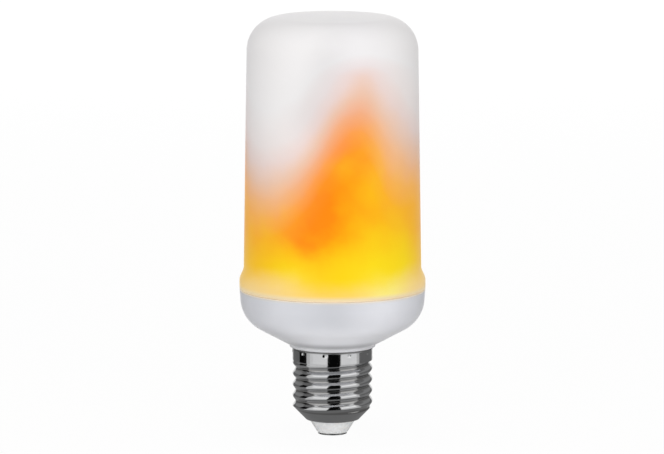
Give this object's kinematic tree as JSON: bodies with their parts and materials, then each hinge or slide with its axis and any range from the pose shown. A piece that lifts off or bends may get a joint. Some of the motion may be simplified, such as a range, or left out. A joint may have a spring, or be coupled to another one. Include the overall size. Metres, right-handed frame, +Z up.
{
  "type": "flame effect led bulb",
  "caption": "Flame effect LED bulb: tall frosted tapered diffuser over a white bowl-shaped base and an Edison screw cap.",
  "frame": {"origin": "middle of the centre contact's foot, the lowest point, on the bulb's axis", "axes": "+Z up the bulb's axis from the cap to the globe's crown, -Y towards the viewer of the picture"},
  "size_m": [0.061, 0.061, 0.1386],
  "materials": {
    "globe": "frosted translucent polycarbonate, lit from inside",
    "housing": "satin white moulding",
    "cap_metal": "bright nickel plate",
    "insulator": "pale translucent moulding",
    "inner_moulding": "white moulding",
    "led_board": "white solder mask with yellow LED chips",
    "laminate": "green glass-epoxy board",
    "black_moulding": "matt black epoxy",
    "can_sleeve": "shrunk sleeve",
    "film_case": "dipped coat",
    "resistor_coat": "baked coat",
    "ferrite": "dark ferrite and sleeve",
    "red_sleeve": "wire insulation",
    "black_sleeve": "wire insulation",
    "tinned_wire": "bare tinned copper",
    "screw_steel": "zinc-plated steel"
  },
  "bodies": {
    "root": {"diffuser_globe": "globe", "base_housing": "housing", "screw_shell": "cap_metal", "centre_contact": "cap_metal", "cap_insulator": "insulator", "mounting_plate": "inner_moulding", "led_carrier_tube": "inner_moulding", "flame_led_board": "led_board", "top_led_board": "led_board", "driver_board": "laminate", "bridge_rectifier": "black_moulding", "driver_chip": "black_moulding", "flame_control_chip": "black_moulding", "input_capacitor": "can_sleeve", "output_capacitor": "can_sleeve", "film_capacitor": "film_case", "fusible_resistor": "resistor_coat", "power_inductor": "ferrite", "live_wire": "red_sleeve", "led_wire_positive": "red_sleeve", "led_wire_negative": "black_sleeve", "neutral_wire": "tinned_wire", "plate_screw_1": "screw_steel", "plate_screw_2": "screw_steel", "plate_screw_3": "screw_steel", "carrier_screw_1": "screw_steel", "carrier_screw_2": "screw_steel"}
  },
  "joints": []
}
